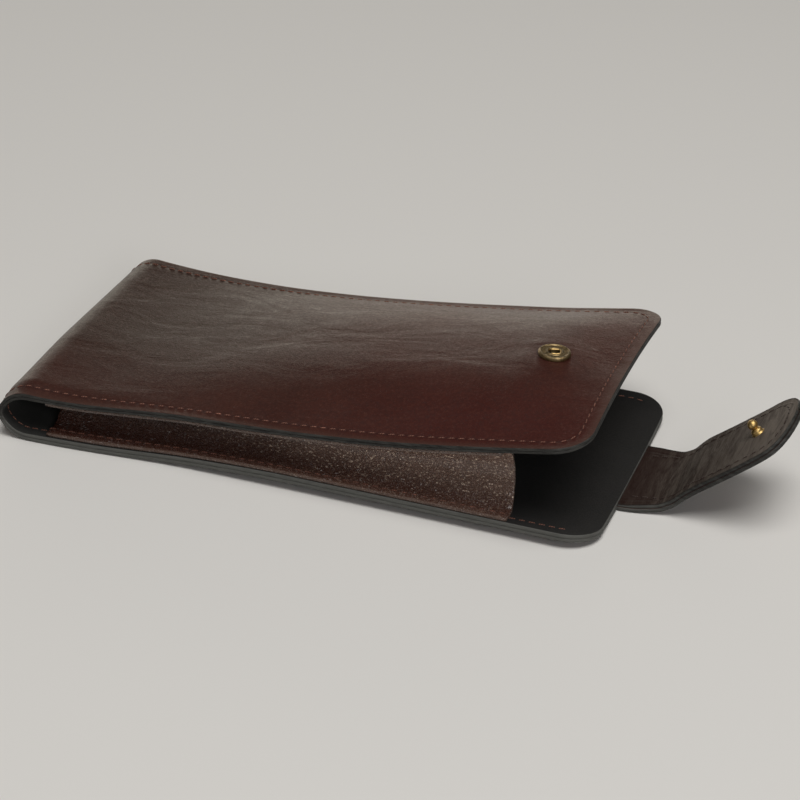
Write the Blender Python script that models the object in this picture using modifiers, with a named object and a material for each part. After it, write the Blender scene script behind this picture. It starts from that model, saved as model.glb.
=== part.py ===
"""A slip-in leather eyeglasses case lying on its back, mouth open, with its closing flap.

One strip of leather makes the back, folds round in a U and comes back over the top as the
front panel. A lining is sewn inside it, a gusset closes each long side, and a flap stands
out of the back's mouth end. A ball stud on the flap snaps into a spring socket on the front.

Frame: X runs from the closed fold (-X) to the mouth and flap (+X), Y across the case and
Z up. The origin lies on the back panel's resting face, half way along the back.
Distances called u are measured along X from the fold's outermost line.
"""

import math

import bmesh
import bpy
import numpy as np
from mathutils import Matrix, Vector

MM = 0.001

# Overall sizes
WIDTH = 86 * MM
BACK_REACH = 167.6 * MM
FRONT_REACH = 163 * MM
FOLD_RADIUS = 8.5 * MM
ORIGIN_U = 84 * MM
CORNER_RADIUS = 10 * MM

# Leather thicknesses, and the gap that separate pieces keep
OUTER_THICK = 1.1 * MM
LINING_THICK = 0.8 * MM
GUSSET_THICK = 1.0 * MM
GAP = 0.3 * MM
LINING_DEPTH = OUTER_THICK + GAP
PANEL_THICK = LINING_DEPTH + LINING_THICK

# The front panel's side edges dip just after the fold, then rise to the mouth, as a cubic
FRONT_LINEAR, FRONT_SQUARE, FRONT_CUBE = -13.5 * MM, 46 * MM, -18.6 * MM
FOLD_END = math.pi / 2 + math.atan(FRONT_LINEAR / (FRONT_REACH - FOLD_RADIUS))
FRONT_START = FOLD_RADIUS * (1 + math.cos(FOLD_END))
FRONT_START_HEIGHT = FOLD_RADIUS * (1 + math.sin(FOLD_END))
# The panel's middle stands above its side edges by this much
DOME_HEIGHT, DOME_AT_MOUTH, DOME_POWER = 5.9 * MM, 1.9 * MM, 3.2
DOME_FULL_U, DOME_FALL_U = 90 * MM, 135 * MM

# Gussets: a flange sewn to each panel and a wall that bows inwards between them
GUSSET_START, GUSSET_END = 17.5 * MM, 143.7 * MM
FLANGE_EDGE, WALL_FOOT, WALL_BOW = 42.4 * MM, 37.2 * MM, 4.5 * MM

# Seams
SEAM_INSET = 4.0 * MM
THREAD_RADIUS = 0.3 * MM

# Flap: layers, outline, and the slope of its curled rest shape along its length
FLAP_OUTER, FLAP_FACING = 1.0 * MM, 0.8 * MM
FLAP_THICK = FLAP_OUTER + GAP + FLAP_FACING
FLAP_HALF_WIDTH, FLAP_LENGTH, FLAP_TIP_LENGTH = 15.6 * MM, 52.6 * MM, 11 * MM
ROOT_FLARE, ROOT_FLARE_LENGTH, TIP_POWER = 2.4 * MM, 14 * MM, 2.6
FLAP_START_U, FLAP_START_HEIGHT = 168 * MM, 1.3 * MM
FLAP_WRAP_AT, STUD_AT = 18 * MM, 39.5 * MM
FLAP_STATIONS = [0, 4, 8, 12.5, 16.5, 23, 44, 49, 52.6]
FLAP_SLOPES = [0, 0, 9, 32, 51, 38.5, 41, 45, 52]

# Press stud
SOCKET_U = 142.7 * MM
CAP_RADIUS, CAP_HEIGHT, CAP_HOLE = 4.5 * MM, 1.5 * MM, 1.7 * MM
CUP_RADIUS, CUP_BORE, CUP_FLANGE = 2.0 * MM, 1.6 * MM, 3.6 * MM
WIRE_RADIUS, WIRE_SPREAD, WIRE_TURN = 0.25 * MM, 1.35 * MM, math.radians(20)
BALL_RADIUS, BALL_HEIGHT = 1.3 * MM, 2.7 * MM
RIVET_SHANK, RIVET_CAP = 1.0 * MM, 3.0 * MM
HOLE_PLAY = 0.3 * MM

PARTS = "eyeglasses_case"


# ---------------------------------------------------------------- shapes of the surfaces
def smooth(x):
    """0 below 0, 1 above 1, and an S between."""
    x = np.clip(x, 0.0, 1.0)
    return x * x * (3 - 2 * x)


def front_edge_height(u):
    """Height of the front panel's outer face at its side edges."""
    t = (u - FRONT_START) / (FRONT_REACH - FRONT_START)
    return FRONT_START_HEIGHT + FRONT_LINEAR * t + FRONT_SQUARE * t**2 + FRONT_CUBE * t**3


def front_height(u, y):
    """Height of the front panel's outer face, with its dome."""
    rise = DOME_HEIGHT * smooth((u - FRONT_START) / DOME_FULL_U)
    fall = (DOME_HEIGHT - DOME_AT_MOUTH) * smooth((u - DOME_FALL_U) / (FRONT_REACH - DOME_FALL_U))
    across = 1 - np.abs(y / (WIDTH / 2)) ** DOME_POWER
    return front_edge_height(u) + (rise - fall) * across


def front_point(u, y, depth=0.0):
    """A point of the front panel, a depth below its outer face along the face's normal."""
    step = 0.05 * MM
    slope_u = (front_height(u + step, y) - front_height(u - step, y)) / (2 * step)
    slope_y = (front_height(u, y + step) - front_height(u, y - step)) / (2 * step)
    normal = Vector((-slope_u, -slope_y, 1)).normalized()
    return Vector((u - ORIGIN_U, y, front_height(u, y))) - depth * normal


def front_normal(u, y):
    return (front_point(u, y) - front_point(u, y, MM)).normalized()


def back_point(row, y, depth=0.0):
    """A point of the back or the fold: row is an angle round the fold, or a u beyond it."""
    kind, value = row
    if kind == "fold":
        reach = FOLD_RADIUS - depth
        u = FOLD_RADIUS + reach * math.cos(value)
        return Vector((u - ORIGIN_U, y, FOLD_RADIUS + reach * math.sin(value)))
    return Vector((value - ORIGIN_U, y, depth))


def panel_half_width(u, reach):
    """Half the panel's width, which rounds off towards the mouth corners."""
    into = u - (reach - CORNER_RADIUS)
    if into <= 0:
        return WIDTH / 2
    return WIDTH / 2 - CORNER_RADIUS + math.sqrt(max(CORNER_RADIUS**2 - into**2, 0))


def corner_stations(reach, steps=6):
    """Distances u along a rounded corner, evenly spaced round its arc."""
    turns = [math.pi / 2 * i / steps for i in range(1, steps + 1)]
    return [reach - CORNER_RADIUS * (1 - math.sin(turn)) for turn in turns]


def flap_slope(s):
    """Slope of the flap in radians at a distance s along it, smooth between its stations."""
    stations, slopes = np.array(FLAP_STATIONS) * MM, np.radians(FLAP_SLOPES)
    i = int(np.clip(np.searchsorted(stations, s) - 1, 0, len(stations) - 2))
    part = (s - stations[i]) / (stations[i + 1] - stations[i])
    return slopes[i] + (slopes[i + 1] - slopes[i]) * float(smooth(part))


def flap_point(s, y, height=0.0):
    """A point of the flap, a height above its middle layer towards its inner face."""
    steps = max(int(s / (0.25 * MM)), 1)
    ds = s / steps
    u, z = FLAP_START_U, FLAP_START_HEIGHT
    for i in range(steps):
        slope = flap_slope((i + 0.5) * ds)
        u, z = u + math.cos(slope) * ds, z + math.sin(slope) * ds
    slope = flap_slope(s)
    return Vector((u - ORIGIN_U - math.sin(slope) * height, y, z + math.cos(slope) * height))


def flap_normal(s):
    slope = flap_slope(s)
    return Vector((-math.sin(slope), 0, math.cos(slope)))


def flap_half_width(s):
    """Half the flap's width: flared at its root, rounded at its tip."""
    into = (s - (FLAP_LENGTH - FLAP_TIP_LENGTH)) / FLAP_TIP_LENGTH
    flare = ROOT_FLARE * (1 - float(smooth(s / ROOT_FLARE_LENGTH)))
    return (FLAP_HALF_WIDTH + flare) * math.sqrt(max(1 - max(into, 0.0) ** TIP_POWER, 0))


# ---------------------------------------------------------------- making objects
def clear_scene():
    for obj in list(bpy.data.objects):
        bpy.data.objects.remove(obj, do_unlink=True)
    for group in list(bpy.data.collections):
        bpy.data.collections.remove(group)


def collection(name):
    group = bpy.data.collections.new(name)
    bpy.context.scene.collection.children.link(group)
    return group


def material(name, colour, roughness, metallic=0.0):
    mat = bpy.data.materials.new(name)
    mat.use_nodes = True
    shader = mat.node_tree.nodes["Principled BSDF"]
    shader.inputs["Base Color"].default_value = (*colour, 1)
    shader.inputs["Roughness"].default_value = roughness
    shader.inputs["Metallic"].default_value = metallic
    return mat


def add_object(name, data, mat, group):
    obj = bpy.data.objects.new(name, data)
    data.materials.append(mat)
    group.objects.link(obj)
    return obj


def strip_mesh(name, rows):
    """An open surface through rows of points, all rows with the same number of points."""
    bm = bmesh.new()
    grid = [[bm.verts.new(point) for point in row] for row in rows]
    for near, far in zip(grid, grid[1:]):
        for i in range(len(near) - 1):
            bm.faces.new((near[i], far[i], far[i + 1], near[i + 1]))
    mesh = bpy.data.meshes.new(name)
    bm.to_mesh(mesh)
    bm.free()
    mesh.shade_smooth()
    return mesh


def sheet(name, rows, thick, mat, group, offset=-1.0):
    """A leather piece: an open surface given its thickness, below the face for offset -1."""
    obj = add_object(name, strip_mesh(name, rows), mat, group)
    solid = obj.modifiers.new("Solidify", "SOLIDIFY")
    solid.thickness = thick
    solid.offset = offset
    return obj


def turned(name, profile, place, normal, mat, group, closed=False, steps=32):
    """A turned piece: a profile of (radius, height) pairs, spun about its normal at a place."""
    mesh = bpy.data.meshes.new(name)
    count = len(profile)
    edges = [(i, i + 1) for i in range(count - 1)] + ([(count - 1, 0)] if closed else [])
    mesh.from_pydata([(radius, 0, height) for radius, height in profile], edges, [])
    obj = add_object(name, mesh, mat, group)
    obj.matrix_world = facing(place, normal)
    screw = obj.modifiers.new("Screw", "SCREW")
    screw.axis = "Z"
    screw.steps = screw.render_steps = steps
    screw.use_merge_vertices = True
    screw.merge_threshold = 0.00001
    screw.use_smooth_shade = True
    return obj


def facing(place, normal, turn=0.0):
    """The matrix that stands an object's Z along a normal, turned about it."""
    across = Vector((0, 1, 0))
    along = across.cross(normal).normalized()
    frame = Matrix((along, normal.cross(along), normal)).transposed().to_4x4()
    return Matrix.Translation(place) @ frame @ Matrix.Rotation(turn, 4, "Z")


def tube(name, points, radius, mat, group, matrix=None):
    """A thread or wire: a smooth curve through its points, with a round section."""
    curve = bpy.data.curves.new(name, "CURVE")
    curve.dimensions = "3D"
    curve.bevel_depth = radius
    curve.bevel_resolution = 1
    curve.use_fill_caps = True
    spline = curve.splines.new("POLY")
    spline.points.add(len(points) - 1)
    for point, place in zip(spline.points, points):
        point.co = (*place, 1)
    obj = add_object(name, curve, mat, group)
    if matrix is not None:
        obj.matrix_world = matrix
    return obj


def drill(obj, place, normal, radius, cutters, length=12 * MM):
    """Cut a round hole through an object."""
    mesh = bpy.data.meshes.new(obj.name + "_drill")
    bm = bmesh.new()
    bmesh.ops.create_cone(
        bm, cap_ends=True, segments=24, radius1=radius, radius2=radius, depth=length
    )
    bm.to_mesh(mesh)
    bm.free()
    cutter = bpy.data.objects.new(obj.name + "_drill", mesh)
    cutters.objects.link(cutter)
    cutter.matrix_world = facing(place, normal)
    cutter.hide_render = True
    cutter.display_type = "WIRE"
    hole = obj.modifiers.new("Hole", "BOOLEAN")
    hole.operation = "DIFFERENCE"
    hole.solver = "EXACT"
    hole.object = cutter


def pivot(name, place, group):
    """An empty on a joint's axis, for the pieces that turn about it."""
    empty = bpy.data.objects.new(name, None)
    empty.empty_display_size = 10 * MM
    empty.location = place
    group.objects.link(empty)
    return empty


def hang_on(empty, pieces):
    """Parent pieces to an empty without moving them."""
    bpy.context.view_layer.update()
    for piece in pieces:
        piece.parent = empty
        piece.matrix_parent_inverse = empty.matrix_world.inverted()


# ---------------------------------------------------------------- the case
def across(half_width, columns):
    """Evenly spaced places across a strip, from the far side to the near one."""
    return [half_width * (1 - 2 * i / columns) for i in range(columns + 1)]


def make_back(name, depth, thick, mat, group):
    """The back panel and the fold, at a depth below the outer face."""
    turns = 14
    start = FOLD_END
    sweep = 3 * math.pi / 2 - start
    rows = [("fold", start + sweep * i / turns) for i in range(turns + 1)]
    flat = np.linspace(FOLD_RADIUS, BACK_REACH - CORNER_RADIUS, 6)[1:]
    rows += [("flat", float(u)) for u in flat]
    rows += [("flat", u) for u in corner_stations(BACK_REACH)]
    points = []
    for row in rows:
        half = WIDTH / 2 if row[0] == "fold" else panel_half_width(row[1], BACK_REACH)
        points.append([back_point(row, y, depth) for y in across(half, 6)])
    return sheet(name, points, thick, mat, group)


def make_front(name, depth, thick, mat, group):
    """The front panel, at a depth below the outer face."""
    columns = 12
    stations = np.linspace(FRONT_START + GAP, FRONT_REACH - CORNER_RADIUS, 15)
    stations = [float(u) for u in stations] + corner_stations(FRONT_REACH)
    points = []
    for u in stations:
        half = panel_half_width(u, FRONT_REACH)
        points.append([front_point(u, y, depth) for y in across(half, columns)])
    return sheet(name, [row[::-1] for row in points], thick, mat, group)


def gusset_section(u, side):
    """The gusset's section: lower flange, wall bowed inwards, upper flange."""
    wall_steps = 8
    depth = PANEL_THICK + GAP + GUSSET_THICK / 2
    foot = Vector((u - ORIGIN_U, side * WALL_FOOT, depth))
    head = front_point(u, side * WALL_FOOT, depth)
    points = [Vector((u - ORIGIN_U, side * FLANGE_EDGE, depth))]
    for i in range(wall_steps + 1):
        part = i / wall_steps
        bow = Vector((0, side * WALL_BOW * math.sin(math.pi * part) ** 0.9, 0))
        points.append(foot.lerp(head, part) - bow)
    points.append(front_point(u, side * FLANGE_EDGE, depth))
    return points if side > 0 else points[::-1]


def make_gusset(name, side, mat, group):
    stations = np.linspace(GUSSET_START, GUSSET_END, 13)
    rows = [gusset_section(float(u), side) for u in stations]
    return sheet(name, rows, GUSSET_THICK, mat, group, offset=0.0)


def seam_route(reach, start):
    """Where a panel's seam runs: up one side, across the mouth end and back, as (u, y)."""
    inner = CORNER_RADIUS - SEAM_INSET
    side = WIDTH / 2 - SEAM_INSET
    straight = [float(u) for u in np.linspace(start, reach - CORNER_RADIUS, 22)]
    half = [(u, -side) for u in straight]
    for turn in (math.radians(angle) for angle in (22.5, 45, 67.5, 90)):
        u = reach - CORNER_RADIUS + inner * math.sin(turn)
        half.append((u, -(side - inner * (1 - math.cos(turn)))))
    half += [(reach - SEAM_INSET, y) for y in (-24 * MM, -16 * MM, -8 * MM)]
    middle = [(reach - SEAM_INSET, 0.0)]
    return half + middle + [(u, -y) for u, y in reversed(half)]


def make_front_seam(mat, group):
    lift = -(GAP + THREAD_RADIUS)
    route = seam_route(FRONT_REACH, FRONT_START + 1.5 * MM)
    points = [front_point(u, y, lift) for u, y in route]
    return tube("front_seam_thread", points, THREAD_RADIUS, mat, group)


def make_back_seam(mat, group):
    """This thread shows on the inside: over the gussets' flanges, then over the lining."""
    over_lining = PANEL_THICK + GAP + THREAD_RADIUS
    over_flange = over_lining + GAP + GUSSET_THICK
    points = []
    for u, y in seam_route(BACK_REACH, GUSSET_START + 1.5 * MM):
        down = float(smooth((u - GUSSET_END - 0.8 * MM) / (4 * MM)))
        points.append((u - ORIGIN_U, y, over_flange + (over_lining - over_flange) * down))
    return tube("back_seam_thread", points, THREAD_RADIUS, mat, group)


# ---------------------------------------------------------------- the flap
def flap_rows(first, last, height, steps):
    """Rows of points along a stretch of the flap, closer together round its tip."""
    tip = FLAP_LENGTH - FLAP_TIP_LENGTH
    stations = [first + (min(last, tip) - first) * i / steps for i in range(steps + 1)]
    if last > tip:
        turns = [math.pi / 2 * i / 8 for i in range(1, 8)]
        stations += [tip + FLAP_TIP_LENGTH * math.sin(turn) for turn in turns]
    return [
        [flap_point(s, y, height) for y in across(flap_half_width(s), 6)] for s in stations
    ]


def make_flap_layers(prefix, first, last, steps, outer_mat, facing_mat, group):
    """The flap's outer leather below and its facing above, over one stretch."""
    facing_rows = flap_rows(first, last, FLAP_THICK / 2, steps)
    outer_rows = flap_rows(first, last, -FLAP_THICK / 2, steps)
    outer = sheet(prefix + "_outer", outer_rows, FLAP_OUTER, outer_mat, group, offset=1.0)
    layer = sheet(prefix + "_facing", facing_rows, FLAP_FACING, facing_mat, group)
    for obj in (outer, layer):
        obj.data.flip_normals()
    return outer, layer


def flap_seam_points(first, last):
    """The flap's seam on its inner face over one stretch, as a list of (s, y)."""
    inset = SEAM_INSET - 0.4 * MM
    tip_start = FLAP_LENGTH - FLAP_TIP_LENGTH
    side = FLAP_HALF_WIDTH - inset
    straight = [float(s) for s in np.linspace(first, min(last, tip_start), 8)]
    half = [(s, -side) for s in straight]
    if last <= tip_start:
        return half
    for turn in (math.radians(angle) for angle in (22.5, 45, 67.5)):
        s = tip_start + (FLAP_TIP_LENGTH - inset) * math.sin(turn)
        half.append((s, -side * math.cos(turn) ** 0.8))
    return half + [(FLAP_LENGTH - inset, 0.0)] + [(s, -y) for s, y in reversed(half)]


def make_flap_seam(name, route, mat, group):
    lift = FLAP_THICK / 2 + GAP + THREAD_RADIUS
    points = [flap_point(s, y, lift) for s, y in route]
    return tube(name, points, THREAD_RADIUS, mat, group)


# ---------------------------------------------------------------- the press stud
def make_socket(brass, steel, group, cutters, leathers):
    """The socket: a cap with a hole, a spring wire under it and a cup through the panel."""
    place, normal = front_point(SOCKET_U, 0.0), front_normal(SOCKET_U, 0.0)
    for leather in leathers:
        drill(leather, place, normal, CUP_RADIUS + HOLE_PLAY, cutters)
    top, wall = CAP_HEIGHT, 0.35 * MM
    cap_profile = [
        (CAP_HOLE, top),
        (CAP_RADIUS - 1.1 * MM, top),
        (CAP_RADIUS - 0.3 * MM, top - 0.25 * MM),
        (CAP_RADIUS, top - 0.7 * MM),
        (CAP_RADIUS, GAP),
        (CAP_RADIUS - wall, GAP),
        (CAP_RADIUS - wall, top - 0.8 * MM),
        (CAP_RADIUS - 0.9 * MM, top - wall - 0.1 * MM),
        (CAP_HOLE, top - wall),
    ]
    cap = turned("socket_cap", cap_profile, place, normal, brass, group, closed=True)
    flange_top = -(PANEL_THICK + 2 * GAP)
    flange_low = flange_top - 0.5 * MM
    cup_profile = [
        (0, flange_top),
        (CUP_BORE, flange_top),
        (CUP_BORE, 0.1 * MM),
        (CUP_RADIUS, 0.1 * MM),
        (CUP_RADIUS, flange_top),
        (CUP_FLANGE, flange_top),
        (CUP_FLANGE, flange_low),
        (0, flange_low),
    ]
    cup = turned("socket_cup", cup_profile, place, normal, brass, group, steps=24)
    spring = make_spring(place, normal, steel, group)
    return cap, cup, spring


def make_spring(place, normal, steel, group):
    """A hairpin of wire whose two bars stand either side of the hole."""
    half_bar = 2.1 * MM
    height = 0.4 * MM + WIRE_RADIUS
    bend = [math.pi / 2 - math.pi * i / 8 for i in range(9)]
    points = [(-half_bar, WIRE_SPREAD, height)]
    points += [
        (half_bar + WIRE_SPREAD * math.cos(a), WIRE_SPREAD * math.sin(a), height) for a in bend
    ]
    points.append((-half_bar, -WIRE_SPREAD, height))
    matrix = facing(place, normal, WIRE_TURN)
    return tube("socket_spring", points, WIRE_RADIUS, steel, group, matrix)


def make_stud(brass, group, cutters, leathers):
    """The ball stud on the flap's inner face, and the rivet that holds it from outside."""
    inner = flap_point(STUD_AT, 0.0, FLAP_THICK / 2)
    normal = flap_normal(STUD_AT)
    for leather in leathers:
        drill(leather, inner, normal, RIVET_SHANK + HOLE_PLAY, cutters)
    neck, flare, base = 0.8 * MM, 1.6 * MM, 3.0 * MM
    turns = [math.radians(angle) for angle in (0, 20, 40, 60, 80, 100, 120, 140)]
    profile = [(BALL_RADIUS * math.sin(t), BALL_HEIGHT + BALL_RADIUS * math.cos(t)) for t in turns]
    profile += [(neck, 1.2 * MM), (flare, 0.9 * MM), (base, 0.75 * MM), (base, GAP), (0, GAP)]
    ball = turned("ball_stud", profile, inner, normal, brass, group, steps=24)
    outside = -(FLAP_THICK + GAP)
    rivet_profile = [
        (0, 0),
        (RIVET_SHANK, 0),
        (RIVET_SHANK, outside),
        (RIVET_CAP, outside),
        (RIVET_CAP, outside - 0.25 * MM),
        (RIVET_CAP * 0.8, outside - 0.6 * MM),
        (RIVET_CAP * 0.45, outside - 0.85 * MM),
        (0, outside - 0.95 * MM),
    ]
    rivet = turned("stud_rivet", rivet_profile, inner, normal, brass, group, steps=24)
    return ball, rivet


def build():
    clear_scene()
    group, cutters = collection(PARTS), collection("cutters")
    outer_leather = material("outer_leather", (0.045, 0.018, 0.014), 0.38)
    lining_leather = material("lining_leather", (0.012, 0.011, 0.011), 0.75)
    gusset_leather = material("gusset_leather", (0.07, 0.032, 0.022), 0.32)
    facing_leather = material("facing_leather", (0.06, 0.03, 0.022), 0.5)
    thread = material("seam_thread", (0.12, 0.035, 0.03), 0.7)
    brass = material("antique_brass", (0.30, 0.21, 0.09), 0.4, 1.0)
    wire = material("spring_brass", (0.62, 0.45, 0.22), 0.3, 1.0)

    make_back("back_outer", 0.0, OUTER_THICK, outer_leather, group)
    make_back("back_lining", LINING_DEPTH, LINING_THICK, lining_leather, group)
    make_gusset("gusset_near", -1, gusset_leather, group)
    make_gusset("gusset_far", 1, gusset_leather, group)
    make_back_seam(thread, group)

    front_outer = make_front("front_outer", 0.0, OUTER_THICK, outer_leather, group)
    front_lining = make_front("front_lining", LINING_DEPTH, LINING_THICK, lining_leather, group)
    front_seam = make_front_seam(thread, group)
    socket = make_socket(brass, wire, group, cutters, (front_outer, front_lining))
    hinge = front_point(FRONT_START, 0.0, PANEL_THICK / 2)
    front_pivot = pivot("mouth_pivot", hinge, group)
    hang_on(front_pivot, [front_outer, front_lining, front_seam, *socket])

    joint = GAP / 2
    riser = make_flap_layers(
        "flap_riser", joint, FLAP_WRAP_AT - joint, 7, outer_leather, facing_leather, group
    )
    tip = make_flap_layers(
        "flap_tip", FLAP_WRAP_AT + joint, FLAP_LENGTH, 8, outer_leather, facing_leather, group
    )
    tip_seam_route = flap_seam_points(FLAP_WRAP_AT + 1.5 * MM, FLAP_LENGTH)
    tip_seam = make_flap_seam("flap_tip_thread", tip_seam_route, thread, group)
    stud = make_stud(brass, group, cutters, tip)
    fold_pivot = pivot("flap_fold_pivot", flap_point(0.0, 0.0, FLAP_THICK / 2), group)
    wrap_at = flap_point(FLAP_WRAP_AT, 0.0, FLAP_THICK / 2)
    wrap_pivot = pivot("flap_wrap_pivot", wrap_at, group)
    hang_on(fold_pivot, [*riser, wrap_pivot])
    hang_on(wrap_pivot, [*tip, tip_seam, *stud])


build()
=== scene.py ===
"""Looks of the leather eyeglasses case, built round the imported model.

Every length here is in millimetres until a mesh is made. Distances called u are measured
along X from the fold's outermost line, and s runs along a strip of leather.
"""

import math

import bmesh
import bpy
import numpy as np
from mathutils import Matrix, Vector, noise


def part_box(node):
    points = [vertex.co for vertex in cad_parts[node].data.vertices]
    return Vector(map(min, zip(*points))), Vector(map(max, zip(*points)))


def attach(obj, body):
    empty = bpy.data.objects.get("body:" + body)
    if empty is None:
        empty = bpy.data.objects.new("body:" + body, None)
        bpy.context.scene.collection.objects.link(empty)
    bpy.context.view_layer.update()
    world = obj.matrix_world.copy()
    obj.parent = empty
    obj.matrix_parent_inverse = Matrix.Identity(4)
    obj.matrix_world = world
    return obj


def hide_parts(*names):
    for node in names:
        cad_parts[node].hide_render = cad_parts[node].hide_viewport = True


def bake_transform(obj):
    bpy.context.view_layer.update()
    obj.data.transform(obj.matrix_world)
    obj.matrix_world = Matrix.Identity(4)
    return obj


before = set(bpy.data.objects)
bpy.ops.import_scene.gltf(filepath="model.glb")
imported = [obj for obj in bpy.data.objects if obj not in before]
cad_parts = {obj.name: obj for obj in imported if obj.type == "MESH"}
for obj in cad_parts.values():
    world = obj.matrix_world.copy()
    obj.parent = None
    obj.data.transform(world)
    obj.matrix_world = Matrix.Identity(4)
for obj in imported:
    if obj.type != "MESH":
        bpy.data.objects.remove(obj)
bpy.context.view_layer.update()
MM = 0.001

# ---------------------------------------------------------------- sizes
BACK_LOW, BACK_HIGH = (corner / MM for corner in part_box("back_outer"))
ORIGIN_U = -BACK_LOW.x
BACK_REACH = BACK_HIGH.x - BACK_LOW.x
HALF_WIDTH = BACK_HIGH.y
FRONT_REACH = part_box("front_outer")[1].x / MM + ORIGIN_U
FRONT_NOMINAL = 163.0
FOLD_RADIUS, CORNER_RADIUS = 8.5, 10.0

# The front panel: a cubic along its side edges, and a dome across it
FRONT_LINEAR, FRONT_SQUARE, FRONT_CUBE = -13.5, 46.0, -18.6
FOLD_END = math.pi / 2 + math.atan(FRONT_LINEAR / (FRONT_NOMINAL - FOLD_RADIUS))
FRONT_START = FOLD_RADIUS * (1 + math.cos(FOLD_END))
FRONT_START_HEIGHT = FOLD_RADIUS * (1 + math.sin(FOLD_END))
DOME_HEIGHT, DOME_AT_MOUTH, DOME_POWER, DOME_HALF, DOME_FOOT = 5.9, 1.9, 3.0, 41.0, 1.25
DOME_FULL_U, DOME_FALL_U = 90.0, 135.0

# How the leather departs from that plain shape: it flares, droops and rolls on its near side,
# and curls up at the mouth's far corner and along the back's sides
NEAR_FLARE, FLARE_U, FLARE_FADE, FLARE_WIDTH = 3.0, 8.0, 50.0, 38.0
NEAR_FROM, DROOP_WIDTH, DROOP_FOOT, DROOP_RISE = 5.0, 34.0, 3.0, 11.0
FOLD_DROOP, FOLD_DROOP_END = 1.4, 62.0
FOLD_ROLL, FOLD_ROLL_END, ROLL_FROM, ROLL_WIDTH = 1.5, 56.0, 36.0, 7.0
SIDE_DROOP, SIDE_DROOP_U, SIDE_DROOP_WIDTH = 2.0, 119.0, 50.0
MOUTH_CURL, MOUTH_CURL_U, MOUTH_CURL_RUN = 1.0, 130.0, 33.0
BACK_CURL, BACK_CURL_U, BACK_CURL_RUN = 2.1, 25.0, 60.0

# Soft creases over the front, and a fan of shallow folds beside the fold's far end
CREASE, CREASE_SIZE, CREASE_MARGIN = 0.09, 17.0, 12.0
FOLD_CREASE, FOLD_CREASE_PITCH, FOLD_CREASE_U, FOLD_CREASE_SPREAD = 0.06, 12.5, 44.0, 19.0

# Leather thicknesses; it is pressed thinner round the fold and along the front's outline
OUTER_THICK, PANEL_THICK, FLANGE_THICK = 1.1, 2.2, 1.0
FOLD_THINNING, FOLD_THIN_WIDTH = 0.34, 11.0
EDGE_PRESSING, PRESSED_WIDTH = 0.3, 3.5
EDGE_ROUND, LINING_ROUND, LAYER_GAP = 0.22, 0.18, 0.02

FRONT_LENGTH = FRONT_REACH - FRONT_START
FOLD_LENGTH = FOLD_RADIUS * (3 * math.pi / 2 - FOLD_END)
STRIP_LENGTH = FRONT_LENGTH + FOLD_LENGTH + BACK_REACH - FOLD_RADIUS

# Gussets: the wall's foot reaches nearer the mouth than its head does, by the slant
GUSSET_START, GUSSET_END, GUSSET_SLANT = 14.3, 143.7, 2.9
FLANGE_EDGE, WALL_FOOT, WALL_BOW = 42.4, 37.2, 4.5

# Stitches
SEAM_INSET, STITCH_PITCH, STITCH_LENGTH = 3.6, 2.7, 2.1
STITCH_RADIUS, STITCH_RISE, STITCH_SLANT, STITCH_SINK = 0.18, 0.03, 0.12, 0.22
UNDER_SINK, TWIST_LENGTH = 0.14, 0.62

# The flap, with the slope of its curled rest shape along its length
FLAP_START_U, FLAP_START_HEIGHT, FLAP_THICK = 168.0, 1.3, 2.1
FLAP_HALF_WIDTH, FLAP_LENGTH, FLAP_TIP_LENGTH = 15.6, 52.6, 11.0
ROOT_FLARE, ROOT_FLARE_LENGTH, TIP_POWER = 2.4, 14.0, 2.6
FLAP_STATIONS = np.array([0, 4, 8, 12.5, 16.5, 23, 44, 49, 52.6])
FLAP_SLOPES = np.radians([0, 0, 9, 32, 51, 38.5, 41, 45, 52])
FLAP_ROOT_IN, FLAP_SPLIT, FLAP_STEP = 7.0, 12.5, 0.05
FLAP_SEAM_INSET, FLAP_TWIST, FLAP_CREASE, ROOT_SAG = 3.6, 0.75, 0.12, 0.22
FLAP_OUTER_LAYER, FLAP_FACING_LAYER, FACING_ROOT_LAYER, FACING_FULL_AT = 1.1, 0.95, 0.5, 6.0
FACING_INSET = 0.25

# The press stud: socket on the front, ball on the flap
SOCKET_U, SOCKET_HOLE, STUD_AT = 142.7, 2.2, 39.5
PUCKER_HEIGHT, PUCKER_RADIUS, PUCKER_WIDTH = 0.22, 8.0, 3.0
WIRE_RADIUS, WIRE_SPREAD, WIRE_BAR, WIRE_LEVEL, WIRE_TURN = 0.23, 1.32, 1.2, 1.0, 20
BALL_RADIUS, BALL_HEIGHT = 1.4, 2.68


# ---------------------------------------------------------------- the case's surfaces
def smooth(x):
    """0 below 0, 1 above 1, and an S between."""
    x = np.clip(x, 0.0, 1.0)
    return x * x * (3 - 2 * x)


def bell(x):
    """1 at 0, fading evenly on both sides."""
    return np.exp(-x * x)


def creases(a, b, size, seed):
    """A soft uneven field from -1 to 1 over two coordinates in millimetres."""
    flat = [
        noise.fractal(Vector((p / size, q / size, seed)), 1.0, 2.1, 3)
        for p, q in zip(np.ravel(a), np.ravel(b))
    ]
    return np.array(flat).reshape(np.shape(a))


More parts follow.
